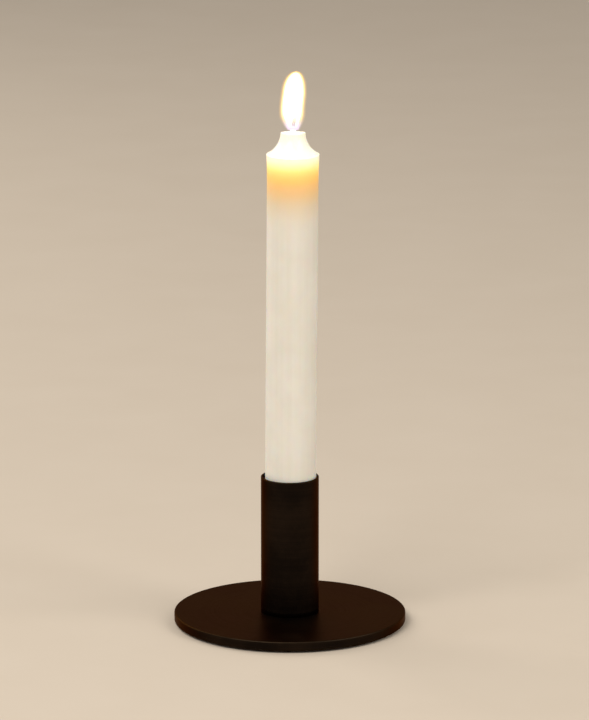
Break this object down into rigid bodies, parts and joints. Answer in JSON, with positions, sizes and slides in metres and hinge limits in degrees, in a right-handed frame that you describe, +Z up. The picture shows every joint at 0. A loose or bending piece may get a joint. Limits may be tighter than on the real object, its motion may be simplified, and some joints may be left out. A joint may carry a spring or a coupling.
{
  "type": "candlestick",
  "caption": "Low dark brass candlestick: a flat round base disc carries an upright socket tube that holds a straight candle, which lifts out.",
  "frame": {"origin": "centre of the felt pad's underside, on the surface that the candlestick stands on", "axes": "+Z up along the axis of the socket tube and the candle"},
  "size_m": [0.1, 0.1, 0.226],
  "materials": {
    "dark_brass": "satin dark patina",
    "raw_brass": "turned",
    "screw_steel": "plated",
    "felt": "pressed felt",
    "wax": "waxy",
    "wick_cotton": "braided, charred at the tip"
  },
  "bodies": {
    "holder": {"base_disc": "dark_brass", "base_pad": "felt", "socket_tube": "dark_brass", "socket_plug": "raw_brass", "fixing_screw": "screw_steel"},
    "candle": {"candle_wax": "wax", "candle_wick": "wick_cotton"}
  },
  "joints": [
    {"name": "candle_lift", "type": "slide", "parent": "holder", "child": "candle", "axis": [0, 0, 1], "range_m": [0, 0.06]}
  ]
}
